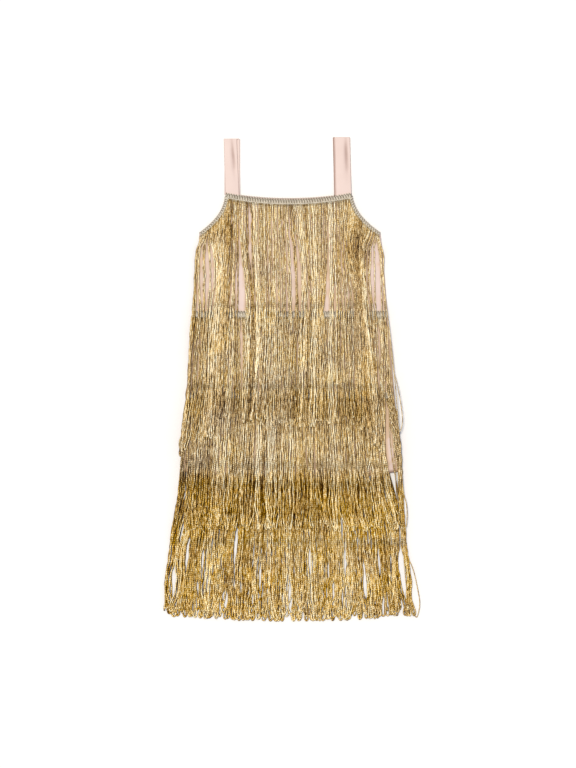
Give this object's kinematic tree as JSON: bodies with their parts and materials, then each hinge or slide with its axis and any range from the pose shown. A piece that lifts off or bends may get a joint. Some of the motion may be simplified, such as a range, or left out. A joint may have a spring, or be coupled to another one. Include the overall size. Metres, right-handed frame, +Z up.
{
  "type": "flapper dress",
  "caption": "Small child's sleeveless A-line dress laid flat, with wide straps, braided edges and tiers of long metallic cord fringe all round.",
  "frame": {"origin": "middle of the whole dress's outline, on the surface that it lies on", "axes": "+Y from the fringe's ends to the shoulders, +X to the dress's left-hand armhole as worn, which is on the right as seen from above, +Z up out of its front"},
  "size_m": [0.417, 0.774, 0.0189],
  "materials": {
    "blush_cloth": "soft satin, smooth woven blush pink",
    "gimp_tape": "braided metallic silver-gold gimp",
    "gold_cord": "twisted metallic gold cord with a broken sparkle"
  },
  "bodies": {
    "root": {"armhole_tape_left_back": "gimp_tape", "armhole_tape_left_front": "gimp_tape", "armhole_tape_right_back": "gimp_tape", "armhole_tape_right_front": "gimp_tape", "fringe_1_back": "gold_cord", "fringe_1_front": "gold_cord", "fringe_2_back": "gold_cord", "fringe_2_front": "gold_cord", "fringe_3_back": "gold_cord", "fringe_3_front": "gold_cord", "neck_tape_back": "gimp_tape", "neck_tape_front": "gimp_tape", "panel_back": "blush_cloth", "panel_front": "blush_cloth", "strap_left": "blush_cloth", "strap_right": "blush_cloth", "tier_2_tape_back": "gimp_tape", "tier_2_tape_front": "gimp_tape", "tier_3_tape_back": "gimp_tape", "tier_3_tape_front": "gimp_tape"}
  },
  "joints": []
}
